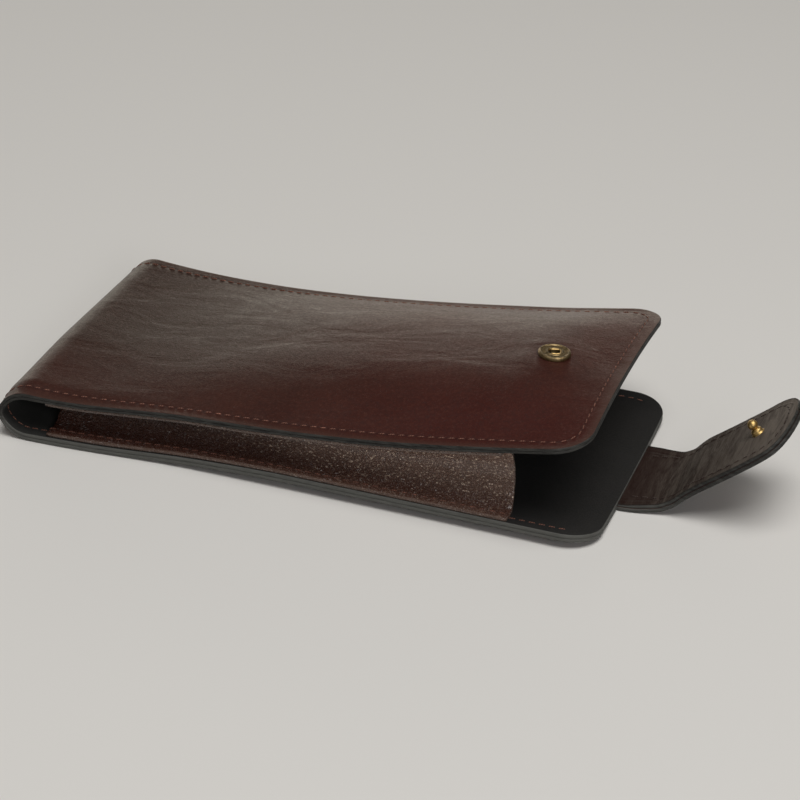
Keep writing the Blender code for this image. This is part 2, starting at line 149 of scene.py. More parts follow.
def front_height(u, y):
    """Height of the front panel's outer face, with its dome and the pucker round its socket."""
    t = (u - FRONT_START) / (FRONT_REACH - FRONT_START)
    edge = FRONT_START_HEIGHT + FRONT_LINEAR * t + FRONT_SQUARE * t**2 + FRONT_CUBE * t**3
    rise = DOME_HEIGHT * smooth((u - FRONT_START) / DOME_FULL_U)
    fall = (DOME_HEIGHT - DOME_AT_MOUTH) * smooth((u - DOME_FALL_U) / (FRONT_REACH - DOME_FALL_U))
    shape = np.clip(1 - np.abs(y / DOME_HALF) ** DOME_POWER, 0, 1) ** DOME_FOOT
    dome = (rise - fall) * shape
    away = np.hypot(u - SOCKET_U, y)
    pucker = PUCKER_HEIGHT * bell((away - PUCKER_RADIUS) / PUCKER_WIDTH)
    return edge + dome + pucker


def front_normal(u, y):
    """The plain front panel's normals, before it flares and droops."""
    step = 0.05
    slope_u = (front_height(u + step, y) - front_height(u - step, y)) / (2 * step)
    slope_y = (front_height(u, y + step) - front_height(u, y - step)) / (2 * step)
    normal = np.stack(np.broadcast_arrays(-slope_u, -slope_y, 1.0), -1)
    return normal / np.linalg.norm(normal, axis=-1, keepdims=True)


def front_place(u, y, depth):
    """Points of the front panel, a depth below its outer face."""
    points = np.stack(np.broadcast_arrays(u, y, front_height(u, y)), -1)
    points = points - np.asarray(depth)[..., None] * front_normal(u, y)
    curl = MOUTH_CURL * smooth((u - MOUTH_CURL_U) / MOUTH_CURL_RUN) * smooth(y / HALF_WIDTH)
    points[..., 0] += curl
    points[..., 2] += curl
    return flared(points)


def back_place(u, y, depth):
    """Points of the back, a depth above its resting face; its sides curl up a little."""
    lift = BACK_CURL * smooth((u - BACK_CURL_U) / BACK_CURL_RUN) * np.abs(y / HALF_WIDTH) ** 3
    return flared(np.stack(np.broadcast_arrays(u, y, depth + lift), -1))


def flared(points):
    """The case is a little wider on its near side by the fold, and its upper side droops there."""
    u, y, z = (points[..., i].copy() for i in range(3))
    fold = FOLD_DROOP * (1 - smooth(u / FOLD_DROOP_END))
    droop = fold + SIDE_DROOP * bell((u - SIDE_DROOP_U) / SIDE_DROOP_WIDTH)
    roll = FOLD_ROLL * (1 - smooth(u / FOLD_ROLL_END))
    down = droop * smooth((-y - NEAR_FROM) / DROOP_WIDTH)
    down = down + roll * smooth((-y - ROLL_FROM) / ROLL_WIDTH)
    points[..., 2] = z - down * smooth((z - DROOP_FOOT) / DROOP_RISE)
    flare = NEAR_FLARE * smooth((-y - NEAR_FROM) / FLARE_WIDTH)
    points[..., 1] = y - flare * (1 - smooth((u - FLARE_U) / FLARE_FADE))
    return points


def strip_place(s, y, depth):
    """Points of the long strip: front panel from its mouth, the fold, then the back."""
    s, y, depth = (np.array(a, float) for a in np.broadcast_arrays(s, y, depth))
    points = front_place(np.maximum(FRONT_REACH - s, FRONT_START), y, depth)
    turn = FOLD_END + (s - FRONT_LENGTH) / FOLD_RADIUS
    reach = FOLD_RADIUS - depth
    fold = np.stack(
        (FOLD_RADIUS + reach * np.cos(turn), y, FOLD_RADIUS + reach * np.sin(turn)), -1
    )
    back = back_place(FOLD_RADIUS + s - FRONT_LENGTH - FOLD_LENGTH, y, depth)
    points = np.where((s > FRONT_LENGTH)[..., None], flared(fold), points)
    return np.where((s > FRONT_LENGTH + FOLD_LENGTH)[..., None], back, points)


def flap_slope(s):
    """The curled flap's slope in radians, a distance from its root."""
    i = np.clip(np.searchsorted(FLAP_STATIONS, s) - 1, 0, len(FLAP_STATIONS) - 2)
    part = (s - FLAP_STATIONS[i]) / (FLAP_STATIONS[i + 1] - FLAP_STATIONS[i])
    return FLAP_SLOPES[i] + (FLAP_SLOPES[i + 1] - FLAP_SLOPES[i]) * smooth(part)


# The flap's middle line, summed up in short steps of its slope
FLAP_FINE = np.arange(0, FLAP_LENGTH + 0.06, FLAP_STEP)
fine_slopes = flap_slope(FLAP_FINE[:-1] + FLAP_STEP / 2)
FLAP_FINE_U = FLAP_START_U + np.concatenate(([0], np.cumsum(np.cos(fine_slopes)) * FLAP_STEP))
FLAP_FINE_Z = FLAP_START_HEIGHT + np.concatenate(
    ([0], np.cumsum(np.sin(fine_slopes)) * FLAP_STEP)
)


def flap_place(s, y, height):
    """Points of the flap, a height above its middle towards its inner face."""
    s, y, height = (np.array(a, float) for a in np.broadcast_arrays(s, y, height))
    slope = np.where(s < 0, 0.0, flap_slope(np.maximum(s, 0)))
    u = np.interp(s, FLAP_FINE, FLAP_FINE_U) + np.minimum(s, 0)
    z = np.interp(s, FLAP_FINE, FLAP_FINE_Z) - ROOT_SAG * (1 - smooth(s / 9))
    z = z - FLAP_TWIST * smooth((s - 3) / 20) * smooth(-y / FLAP_HALF_WIDTH)
    return np.stack((u - np.sin(slope) * height, y, z + np.cos(slope) * height), -1)


def flap_half_width(s, inset=0.0):
    """Half the flap's width, a distance from its root: flared there, and rounded at its tip."""
    into = np.clip((s - FLAP_LENGTH + FLAP_TIP_LENGTH) / (FLAP_TIP_LENGTH - inset), 0, 1)
    flare = ROOT_FLARE * (1 - smooth(s / ROOT_FLARE_LENGTH))
    return (FLAP_HALF_WIDTH + flare - inset) * np.sqrt(1 - into**TIP_POWER)


# ---------------------------------------------------------------- meshes
def to_frame(points):
    """Millimetre points with u along X, as metres in the frame."""
    return (np.asarray(points, float) - (ORIGIN_U, 0, 0)) * MM


def link(name, mesh, *materials):
    obj = bpy.data.objects.new(name, mesh)
    bpy.context.scene.collection.objects.link(obj)
    for mat in materials:
        mesh.materials.append(mat)
    return obj


def make_mesh(name, points, faces, slots=None, lay=None):
    """A smooth mesh that keeps its rest places and its lay (along, across, edge distance)."""
    mesh = bpy.data.meshes.new(name)
    mesh.from_pydata([tuple(p) for p in points], [], [tuple(map(int, f)) for f in faces])
    if slots is not None:
        mesh.polygons.foreach_set("material_index", np.asarray(slots, np.int32))
    rest = mesh.attributes.new("rest", "FLOAT_VECTOR", "POINT")
    rest.data.foreach_set("vector", np.asarray(points, np.float32).ravel())
    if lay is not None:
        kept = mesh.attributes.new("lay", "FLOAT_VECTOR", "POINT")
        kept.data.foreach_set("vector", np.asarray(lay, np.float32).ravel())
    mesh.shade_smooth()
    return mesh


def mend(mesh, merge=0.0):
    """Turns all faces outwards, after merging points closer than a distance."""
    bm = bmesh.new()
    bm.from_mesh(mesh)
    if merge:
        bmesh.ops.remove_doubles(bm, verts=bm.verts, dist=merge)
    bmesh.ops.recalc_face_normals(bm, faces=bm.faces)
    bm.to_mesh(mesh)
    bm.free()


def ring_faces(rings, sides, first=0, capped=False):
    """Quads between rings of points, each ring a closed loop, with or without end caps."""
    faces = []
    for i in range(rings - 1):
        a, b = first + i * sides, first + (i + 1) * sides
        for j in range(sides):
            k = (j + 1) % sides
            faces.append((a + j, a + k, b + k, b + j))
    if capped:
        faces.append([first + j for j in reversed(range(sides))])
        faces.append([first + (rings - 1) * sides + j for j in range(sides)])
    return faces


def grid_normals(grid):
    """Unit normals of a grid of points."""
    along = np.gradient(grid, axis=0)
    over = np.gradient(grid, axis=1)
    normal = np.cross(along, over)
    return normal / np.maximum(np.linalg.norm(normal, axis=-1, keepdims=True), 1e-9)


def perimeter(rows, columns, open_start, open_end):
    """Grid indices round a grid's boundary; a side that stays open is left out."""
    left = [(i, 0) for i in range(rows)]
    end = [(rows - 1, j) for j in range(1, columns - 1)]
    right = [(i, columns - 1) for i in range(rows - 1, -1, -1)]
    start = [(0, j) for j in range(columns - 2, 0, -1)]
    if open_start and open_end:
        return [left, right], False
    if open_start:
        return [left + end + right], False
    if open_end:
        return [right + start + left], False
    return [left + end + right + start], True


def shell(name, grid, thick, lay, round_by, materials, open_start=False, open_end=False, steps=5):
    """A sheet of leather on a grid of its middle points, its edges rounded outwards and painted."""
    rows, columns = grid.shape[:2]
    normal = grid_normals(grid)
    half = np.asarray(thick) / 2
    half = half[..., None] if np.ndim(half) else half
    points = [(grid + normal * half).reshape(-1, 3), (grid - normal * half).reshape(-1, 3)]
    lays = [lay.reshape(-1, 3)] * 2
    index = np.arange(rows * columns).reshape(rows, columns)
    faces, slots = [], []
    for low, flip in ((0, False), (rows * columns, True)):
        a, b = index[:-1, :-1] + low, index[1:, :-1] + low
        c, d = index[1:, 1:] + low, index[:-1, 1:] + low
        quads = np.stack((a, d, c, b) if flip else (a, b, c, d), -1).reshape(-1, 4)
        faces.extend(quads.tolist())
        slots.extend([0] * len(quads))
    count = 2 * rows * columns
    centre = grid.reshape(-1, 3).mean(0)
    loops, closed = perimeter(rows, columns, open_start, open_end)
    for loop in loops:
        at = np.array(loop)
        edge, edge_normal = grid[at[:, 0], at[:, 1]], normal[at[:, 0], at[:, 1]]
        if closed:
            tangent = np.roll(edge, -1, 0) - np.roll(edge, 1, 0)
        else:
            tangent = np.gradient(edge, axis=0)
        out = np.cross(tangent, edge_normal)
        out /= np.maximum(np.linalg.norm(out, axis=1, keepdims=True), 1e-9)
        inward = grid[
            np.clip(at[:, 0], 1, rows - 2), np.clip(at[:, 1], 1, columns - 2)
        ] - edge
        out *= np.where((out * inward).sum(1) > 0, -1, 1)[:, None]
        edge_half = half if np.ndim(half) == 0 else half[at[:, 0], at[:, 1]]
        rings = [index[at[:, 0], at[:, 1]]]
        for k in range(1, steps):
            turn = math.pi * k / steps
            ring = edge + out * round_by * math.sin(turn) + edge_normal * edge_half * math.cos(turn)
            points.append(ring)
            ring_lay = lay[at[:, 0], at[:, 1]].copy()
            ring_lay[:, 2] = 0
            lays.append(ring_lay)
            rings.append(np.arange(len(at)) + count)
            count += len(at)
        rings.append(index[at[:, 0], at[:, 1]] + rows * columns)
        last = len(at) if closed else len(at) - 1
        for upper, lower in zip(rings, rings[1:]):
            for i in range(last):
                j = (i + 1) % len(at)
                faces.append((upper[i], lower[i], lower[j], upper[j]))
                slots.append(1)
    mesh = make_mesh(name, to_frame(np.concatenate(points)), faces, slots, np.concatenate(lays))
    mend(mesh)
    return link(name, mesh, *materials)


def outline_rows(length, middle, corner_steps=14):
    """Rows along a strip with rounded corners at both ends: (s, half width) pairs."""
    corner = CORNER_RADIUS - EDGE_ROUND
    turns = [math.pi / 2 * i / corner_steps for i in range(corner_steps + 1)]
    inner = HALF_WIDTH - CORNER_RADIUS
    ends = [(corner * math.sin(t), inner + corner * math.cos(t)) for t in turns]
    rows = [(CORNER_RADIUS - along, half) for along, half in reversed(ends)]
    rows += [(s, HALF_WIDTH - EDGE_ROUND) for s in middle]
    rows += [(length - CORNER_RADIUS + along, half) for along, half in ends]
    return rows


def dense_sides(half, zone, fine, coarse):
    """Column places from -1 to 1, closer together near both sides."""
    side = np.arange(0, zone, fine)
    middle = np.linspace(zone, half, max(int((half - zone) / coarse), 2))
    right = np.concatenate((half - side, half - middle))
    return np.unique(np.round(np.concatenate((-right, right)) / half, 6))


def edge_distance(s, y, length):
    """Distance to a rounded strip's outline."""
    end = np.minimum(s, length - s)
    side = HALF_WIDTH - np.abs(y)
    corner = CORNER_RADIUS - np.hypot(CORNER_RADIUS - end, CORNER_RADIUS - side)
    in_corner = (end < CORNER_RADIUS) & (side < CORNER_RADIUS)
    return np.where(in_corner, corner, np.minimum(end, side))


def thinning(s):
    """The leather is pressed thinner round the fold, by this factor."""
    return 1 - FOLD_THINNING * bell((s - FRONT_LENGTH - FOLD_LENGTH / 2) / FOLD_THIN_WIDTH)


def pressed(distance, on_front):
    """The front panel is pressed thinner along its outline, by this factor."""
    return 1 - EDGE_PRESSING * (1 - smooth(distance / PRESSED_WIDTH)) * on_front


def strip_grid(depth):
    """A layer of the long strip at a depth: its places, its lay and how thin it is pressed."""
    middle = np.concatenate((
        np.arange(CORNER_RADIUS + 1.5, FRONT_LENGTH - 1, 1.9),
        np.linspace(FRONT_LENGTH, FRONT_LENGTH + FOLD_LENGTH, 30),
        np.arange(FRONT_LENGTH + FOLD_LENGTH + 2, STRIP_LENGTH - CORNER_RADIUS - 1, 2.4),
    ))
    rows = outline_rows(STRIP_LENGTH, middle)
    columns = dense_sides(HALF_WIDTH, 7.0, 0.5, 2.1)
    s = np.array([row[0] for row in rows])[:, None] + 0 * columns
    y = np.array([row[1] for row in rows])[:, None] * columns
    lay = np.stack((s, y, edge_distance(s, y, STRIP_LENGTH)), -1)
    on_front = smooth((FRONT_LENGTH + 4 - s) / 12)
    inside = smooth(lay[..., 2] / CREASE_MARGIN)
    uneven = CREASE * creases(s, y * 0.55, CREASE_SIZE, 3.0) * on_front * (0.35 + 0.65 * inside)
    u = FRONT_REACH - s
    wander = creases(u, y, 30.0, 6.0)
    folds = np.sin(2 * math.pi * (u - 0.3 * y) / FOLD_CREASE_PITCH + 2.4 * wander)
    folds = FOLD_CREASE * folds * bell((u - FOLD_CREASE_U) / FOLD_CREASE_SPREAD)
    uneven += folds * smooth((y + 12) / 30) * inside * on_front
    factor = thinning(s) * pressed(lay[..., 2], on_front)
    return strip_place(s, y, depth * factor - uneven), lay, factor


# ---------------------------------------------------------------- stitches
def stitch_mesh(name, centre, tangent, normal):
    """Slanted thread stitches, each a bowed round bar whose ends sink into the leather."""
    sides, steps = 8, 7
    x = np.linspace(-1, 1, steps)
    side_way = np.cross(normal, tangent)
    lines = []
    for k in x:
        lift = STITCH_RISE * (1 - k * k) - STITCH_SINK * k**4
        lines.append(
            centre + tangent * k * STITCH_LENGTH / 2 + side_way * k * STITCH_SLANT + normal * lift
        )
    points, faces = [], []
    for step, k in enumerate(x):
        radius = STITCH_RADIUS * math.sqrt(max(1 - 0.72 * k**6, 0.05))
        for side in range(sides):
            turn = 2 * math.pi * side / sides
            points.append(
                lines[step] + radius * (math.cos(turn) * side_way + math.sin(turn) * normal)
            )
    points = np.stack(points, 1)
    per = steps * sides
    for i in range(len(centre)):
        faces += ring_faces(steps, sides, i * per, capped=True)
    along = np.repeat(np.linspace(0, STITCH_LENGTH, steps), sides)
    round_it = np.tile(np.arange(sides) / sides, steps)
    lay = np.stack((along, round_it, 0 * along), -1)
    lay = np.tile(lay, (len(centre), 1))
    lay[:, 2] = np.repeat(np.arange(len(centre)) % 7, per)
    return make_mesh(name, to_frame(points.reshape(-1, 3)), faces, lay=lay)


def rounded_route(length, inset):
    """A closed route round a strip, inset from its outline, as evenly spaced (s, y)."""
    half, corner = HALF_WIDTH - inset, CORNER_RADIUS - inset
    s, y = [], []
    for centre_s, centre_y, start in (
        (CORNER_RADIUS, -HALF_WIDTH + CORNER_RADIUS, 180),
        (length - CORNER_RADIUS, -HALF_WIDTH + CORNER_RADIUS, 270),
        (length - CORNER_RADIUS, HALF_WIDTH - CORNER_RADIUS, 0),
        (CORNER_RADIUS, HALF_WIDTH - CORNER_RADIUS, 90),
    ):
        for turn in np.radians(start + np.linspace(0, 90, 12)):
            s.append(centre_s + corner * math.cos(turn))
            y.append(centre_y + corner * math.sin(turn))
    return even_route(np.array(s + s[:1]), np.array(y + y[:1]))


def even_route(s, y, skip_ends=0.0):
    """Stitch middles at an even pitch along a route, with the route's direction at each."""
    gone = np.concatenate(([0], np.cumsum(np.hypot(np.diff(s), np.diff(y)))))
    count = int(round((gone[-1] - 2 * skip_ends) / STITCH_PITCH))
    at = skip_ends + (np.arange(count) + 0.5) * (gone[-1] - 2 * skip_ends) / count
    ahead, behind = at + 0.5, at - 0.5
    way = np.stack(
        [np.interp(ahead, gone, a) - np.interp(behind, gone, a) for a in (s, y)], -1
    )
    way /= np.linalg.norm(way, axis=1, keepdims=True)
    return np.interp(at, gone, s), np.interp(at, gone, y), way


def stitches_on(name, place, s, y, way, depth, inward, material):
    """Stitches on a surface given by place(s, y, depth), facing away from its depth or along it."""
    step = 0.4
    centre = place(s, y, depth)
    tangent = place(s + way[:, 0] * step, y + way[:, 1] * step, depth) - place(
        s - way[:, 0] * step, y - way[:, 1] * step, depth
    )
    tangent /= np.linalg.norm(tangent, axis=1, keepdims=True)
    deeper = place(s, y, depth + 0.2) - place(s, y, depth - 0.2)
    normal = deeper if inward else -deeper
    normal -= tangent * (normal * tangent).sum(1, keepdims=True)
    normal /= np.linalg.norm(normal, axis=1, keepdims=True)
    return link(name, stitch_mesh(name, centre, tangent, normal), material)


# ---------------------------------------------------------------- materials
class Nodes:
    """A material's node tree, with short calls for the nodes used here."""

    def __init__(self, name):
        self.material = bpy.data.materials.new(name)
        self.material.use_nodes = True
        self.tree = self.material.node_tree
        self.shader = self.tree.nodes["Principled BSDF"]

    def add(self, kind, inputs=None, **settings):
        node = self.tree.nodes.new("ShaderNode" + kind)
        for key, value in settings.items():
            setattr(node, key, value)
        for key, value in (inputs or {}).items():
            self.feed(node.inputs[key], value)
        return node

    def feed(self, socket, value):
        """Links another node's output, or sets a constant."""
        if isinstance(value, bpy.types.NodeSocket):
            self.tree.links.new(value, socket)
        else:
            socket.default_value = value

    def attribute(self, name):
        return self.add("Attribute", attribute_name=name).outputs["Vector"]

    def part(self, vector, axis):
        return self.add("SeparateXYZ", {"Vector": vector}).outputs[axis]

    def stretched(self, vector, scale, turn=(0, 0, 0)):
        inputs = {"Vector": vector, "Scale": scale, "Rotation": turn}
        return self.add("Mapping", inputs).outputs["Vector"]

    def noise(self, vector, scale, detail=3.0, rough=0.5, distortion=0.0):
        inputs = {
            "Vector": vector, "Scale": scale, "Detail": detail,
            "Roughness": rough, "Distortion": distortion,
        }
        return self.add("TexNoise", inputs).outputs["Fac"]

    def cells(self, vector, scale, feature="F1"):
        inputs = {"Vector": vector, "Scale": scale}
        return self.add("TexVoronoi", inputs, feature=feature).outputs["Distance"]

    def math(self, operation, a, b=0.0):
        return self.add("Math", {0: a, 1: b}, operation=operation).outputs[0]

    def times(self, a, b):
        return self.math("MULTIPLY", a, b)

    def apart(self, a, b):
        """How far two values lie from each other."""
        return self.math("ABSOLUTE", self.math("SUBTRACT", a, b))

    def span(self, value, low, high, to_low=0.0, to_high=1.0):
        """A soft step: to_low up to low, to_high beyond high."""
        inputs = {
            "Value": value, "From Min": low, "From Max": high, "To Min": to_low, "To Max": to_high
        }
        return self.add("MapRange", inputs, interpolation_type="SMOOTHSTEP").outputs["Result"]

    def blend(self, factor, a, b):
        """Colour a, passing to colour b as the factor rises."""
        a, b = ((*c, 1.0) if isinstance(c, tuple) else c for c in (a, b))
        return self.add("Mix", {0: factor, 6: a, 7: b}, data_type="RGBA").outputs[2]

    def bump(self, height, distance, strength=1.0, under=None):
        inputs = {"Height": height, "Distance": distance, "Strength": strength}
        if under is not None:
            inputs["Normal"] = under
        return self.add("Bump", inputs).outputs["Normal"]

    def finish(self, colour, roughness, normal=None, **plain):
        self.feed(self.shader.inputs["Base Color"], colour)
        self.feed(self.shader.inputs["Roughness"], roughness)
        if normal is not None:
            self.feed(self.shader.inputs["Normal"], normal)
        for key, value in plain.items():
            self.shader.inputs[key.replace("_", " ")].default_value = value
        return self.material


def outer_leather(name):
    """Smooth waxed leather: faint pores and rub marks, darker blooms, painted shade in the groove
    at its seam, and a painted olive sheen towards the fold.
    """
    n = Nodes(name)
    rest = n.attribute("rest")
    distance = n.part(n.attribute("lay"), 2)
    bloom = n.noise(rest, 26, 4, 0.55, 0.3)
    mottle = n.noise(rest, 260, 4, 0.62)
    streak = n.noise(n.stretched(rest, (70, 520, 300), (0, 0, 0.5)), 1.0, 4, 0.6)
    pore = n.cells(rest, 2300)
    grain = n.noise(rest, 1900, 4, 0.6)
    colour = n.blend(n.span(bloom, 0.3, 0.7), (0.041, 0.0112, 0.0076), (0.054, 0.0150, 0.0098))
    colour = n.blend(n.span(mottle, 0.42, 0.75, 0, 0.35), colour, (0.034, 0.0125, 0.0095))
    colour = n.blend(n.span(streak, 0.58, 0.85, 0, 0.3), colour, (0.085, 0.034, 0.024))
    # Painted sheen: an olive tint towards the fold, where the light's sheen lies. The near mouth
    # corner is redder.
    along, across = n.part(rest, 0), n.part(rest, 1)
    olive_sheen = n.times(n.span(along, 0.03, -0.06), n.span(across, -0.042, 0.0, 0.15, 0.75))
    colour = n.blend(olive_sheen, colour, (0.034, 0.0235, 0.0175))
    warm = n.times(n.span(along, -0.01, 0.05), n.span(across, -0.005, -0.034, 0.0, 0.75))
    colour = n.blend(warm, colour, (0.049, 0.0078, 0.0056))
    speckle = n.noise(rest, 1150, 3, 0.7)
    colour = n.blend(n.span(speckle, 0.48, 0.66, 0, 0.45), colour, (0.024, 0.008, 0.006))
    colour = n.blend(n.span(speckle, 0.48, 0.32, 0, 0.3), colour, (0.095, 0.040, 0.028))
    # The margin outside the seam is worn lighter, and the seam's groove is painted dark as shade
    near = n.apart(distance, SEAM_INSET)
    colour = n.blend(n.span(distance, 0.2, 3.4, 0.55, 0.0), colour, (0.072, 0.036, 0.027))
    colour = n.blend(n.span(near, 0.1, 0.7, 0.4, 0.0), colour, (0.022, 0.007, 0.006))
    rough = n.math(
        "ADD", n.span(bloom, 0.3, 0.7, 0.42, 0.46), n.span(mottle, 0.35, 0.75, -0.01, 0.03)
    )
    rough = n.math("ADD", rough, n.span(streak, 0.55, 0.85, 0.0, 0.04))
    rough = n.math("ADD", rough, n.span(speckle, 0.3, 0.7, -0.04, 0.06))
    normal = n.bump(n.span(near, 0.0, 1.1, -1.0, 0.0), 0.00006)
    wrinkle = n.noise(n.stretched(rest, (38, 85, 60), (0, 0, -0.75)), 1.0, 4, 0.5, 0.6)
    normal = n.bump(n.span(wrinkle, 0.25, 0.7), 0.0004, 0.45, normal)
    fine = n.math("SUBTRACT", grain, n.span(pore, 0.0, 0.35, 0.6, 0.0))
    normal = n.bump(fine, 0.00008, 0.9, normal)
    return n.finish(colour, rough, normal, Specular_IOR_Level=0.28)


def lining_suede(name):
    """Black suede: a fine nap with brushed patches."""
    n = Nodes(name)
    rest = n.attribute("rest")
    patch = n.noise(rest, 85, 4, 0.6, 0.6)
    nap = n.noise(rest, 2400, 3, 0.7)
    colour = n.blend(n.span(patch, 0.35, 0.7), (0.0055, 0.0052, 0.005), (0.0125, 0.0115, 0.011))
    colour = n.blend(n.span(nap, 0.45, 0.8, 0, 0.5), colour, (0.021, 0.019, 0.018))
    by_fold = n.span(n.part(rest, 0), -0.076, -0.052, 0.6, 0.0)
    colour = n.blend(by_fold, colour, (0.028, 0.028, 0.026))
    normal = n.bump(nap, 0.00012, 0.9)
    return n.finish(
        colour, n.span(patch, 0.3, 0.7, 0.78, 0.92), normal,
        Sheen_Weight=0.06, Sheen_Roughness=0.4, Specular_IOR_Level=0.3,
    )


def gusset_leather(name):
    """Glossy leather with a fine pebbled grain, painted glints, painted light towards the mouth and
    painted shade at the wall's foot.
    """
    n = Nodes(name)
    rest = n.attribute("rest")
    lay = n.attribute("lay")
    along, across, distance = (n.part(lay, axis) for axis in range(3))
    in_mm = n.stretched(rest, (1000, 1000, 1000))
    pebble = n.cells(in_mm, 1.55, "SMOOTH_F1")
    crack = n.cells(in_mm, 1.55, "DISTANCE_TO_EDGE")
    bloom = n.noise(rest, 70, 4, 0.6)
    fine = n.noise(rest, 3800, 3, 0.6)
    # Painted light and shade: the wall passes from dark by the fold, where the front's edge shades
    # it, to lighter towards the mouth; the bloom adds random tone.
    mouth_light_and_tone = n.math("ADD", n.span(along, 25, 125), n.span(bloom, 0.35, 0.7, -0.15, 0.15))
    colour = n.blend(mouth_light_and_tone, (0.046, 0.020, 0.014), (0.210, 0.128, 0.098))
    colour = n.blend(n.span(crack, 0.0, 0.12, 0.6, 0.0), colour, (0.030, 0.013, 0.009))
    # Painted shade: darker and redder over the flange and the wall's foot.
    colour = n.blend(n.span(across, 6.0, 12.0, 0.8, 0.0), colour, (0.060, 0.020, 0.013))
    # Painted highlights: the grain's crests are given fine glints, most of them towards the mouth
    speck = n.noise(n.stretched(rest, (1150, 1900, 1900)), 1.0, 3, 0.85)
    painted_glint = n.times(n.span(speck, 0.555, 0.65), n.span(pebble, 0.7, 0.2, 0.5, 1.0))
    painted_glint = n.times(painted_glint, n.span(across, 5.5, 10.0, 0.4, 1.0))
    painted_glint = n.times(painted_glint, n.span(along, 35, 105, 0.1, 0.9))
    colour = n.blend(painted_glint, colour, (1.0, 0.79, 0.62))
    rim = n.span(distance, 0.4, 1.1, 0.7, 0.0)
    colour = n.blend(rim, colour, (0.115, 0.075, 0.058))
    height = n.math("SUBTRACT", n.span(crack, 0.0, 0.3, 0.0, 1.0), n.times(pebble, 0.3))
    normal = n.bump(height, 0.0002, 0.85)
    normal = n.bump(fine, 0.00003, 0.7, normal)
    rough = n.span(fine, 0.3, 0.75, 0.2, 0.34)
    return n.finish(colour, rough, normal, Coat_Weight=0.4, Coat_Roughness=0.14)


def facing_leather(name):
    """Brown leather, scuffed in diagonal streaks, with a painted grey sheen towards its tip."""
    n = Nodes(name)
    lay = n.attribute("lay")
    rest = n.attribute("rest")
    along, distance = n.part(lay, 0), n.part(lay, 2)
    streak = n.noise(n.stretched(lay, (0.45, 0.075, 0), (0, 0, 0.75)), 1.0, 5, 0.6, 0.9)
    fine = n.noise(n.stretched(lay, (3.2, 0.35, 0), (0, 0, 0.75)), 1.0, 4, 0.65, 0.6)
    grain = n.noise(rest, 2300, 4, 0.6)
    colour = n.blend(n.span(streak, 0.35, 0.68), (0.023, 0.014, 0.011), (0.070, 0.056, 0.046))
    colour = n.blend(n.span(fine, 0.5, 0.75, 0, 0.45), colour, (0.014, 0.008, 0.006))
    colour = n.blend(n.span(fine, 0.5, 0.3, 0, 0.35), colour, (0.110, 0.090, 0.075))
    # Painted sheen: lighter and greyer towards the tip
    tip = n.times(n.span(along, 24, 50, 0.0, 0.8), n.span(streak, 0.3, 0.6, 0.5, 1.0))
    colour = n.blend(tip, colour, (0.160, 0.136, 0.116))
    root = n.span(along, 2.0, 16.0, 0.75, 0.0)
    colour = n.blend(root, colour, (0.016, 0.006, 0.0045))
    rim = n.span(distance, 0.3, 1.6, 0.85, 0.0)
    colour = n.blend(rim, colour, (0.016, 0.015, 0.014))
    near = n.apart(distance, FLAP_SEAM_INSET)
    normal = n.bump(n.span(near, 0.0, 0.8, -1.0, 0.0), 0.0002)
    normal = n.bump(n.math("ADD", fine, n.times(grain, 0.5)), 0.00009, 0.8, normal)
    return n.finish(
        colour, n.span(fine, 0.3, 0.75, 0.7, 0.85), normal, Specular_IOR_Level=0.12
    )


def painted_edge(name, floor_bounce_light):
    """Painted leather edges: near black and streaked, with painted light from the floor's bounce
    greying them close to the resting face.
    """
    n = Nodes(name)
    rest = n.attribute("rest")
    streak = n.noise(n.stretched(rest, (240, 240, 1500)), 1.0, 4, 0.65)
    fine = n.noise(rest, 1700, 3, 0.6)
    colour = n.blend(n.span(streak, 0.3, 0.72), (0.014, 0.0138, 0.0125), (0.046, 0.045, 0.041))
    # Painted light: the floor's bounce greys the edges near the resting face
    low = n.span(n.part(rest, 2), 0.003, 0.008, floor_bounce_light, 0.0)
    colour = n.blend(low, colour, (0.26, 0.26, 0.24))
    normal = n.bump(n.math("ADD", streak, n.times(fine, 0.5)), 0.0001, 0.7)
    return n.finish(colour, n.span(fine, 0.3, 0.7, 0.5, 0.65), normal, Specular_IOR_Level=0.25)


def thread(name, dark, light):
    """Waxed twisted thread."""
    n = Nodes(name)
    lay = n.attribute("lay")
    gone, turned = n.part(lay, 0), n.part(lay, 1)
    phase = n.math("ADD", n.times(gone, math.tau / TWIST_LENGTH), n.times(turned, math.tau))
    twist = n.math("SINE", phase)
    wear = n.noise(n.attribute("rest"), 900, 2, 0.5)
    colour = n.blend(n.span(twist, -0.8, 0.8), dark, light)
    colour = n.blend(n.span(wear, 0.55, 0.75, 0, 0.5), colour, tuple(1.8 * c for c in light))
    return n.finish(colour, 0.6, n.bump(twist, 0.00005, 0.8), Specular_IOR_Level=0.35)


def brass(name, clean, patina, tarnish, rough, relief):
    """Brass with dark patina in cloudy patches and spots of tarnish."""
    n = Nodes(name)
    rest = n.attribute("rest")
    cloud = n.noise(rest, 900, 5, 0.65, 0.5)
    pits = n.noise(rest, 3300, 3, 0.7)
    colour = n.blend(n.span(cloud, 0.5 - tarnish, 0.95 - tarnish), clean, patina)
    spots = n.span(pits, 0.5, 0.7, 0.0, 0.7)
    colour = n.blend(n.times(spots, tarnish), colour, (0.03, 0.022, 0.012))
    roughness = n.span(cloud, 0.3, 0.75, rough, rough + 0.2)
    normal = n.bump(n.math("ADD", pits, cloud), relief, 0.7)
    return n.finish(colour, roughness, normal, Metallic=1.0)


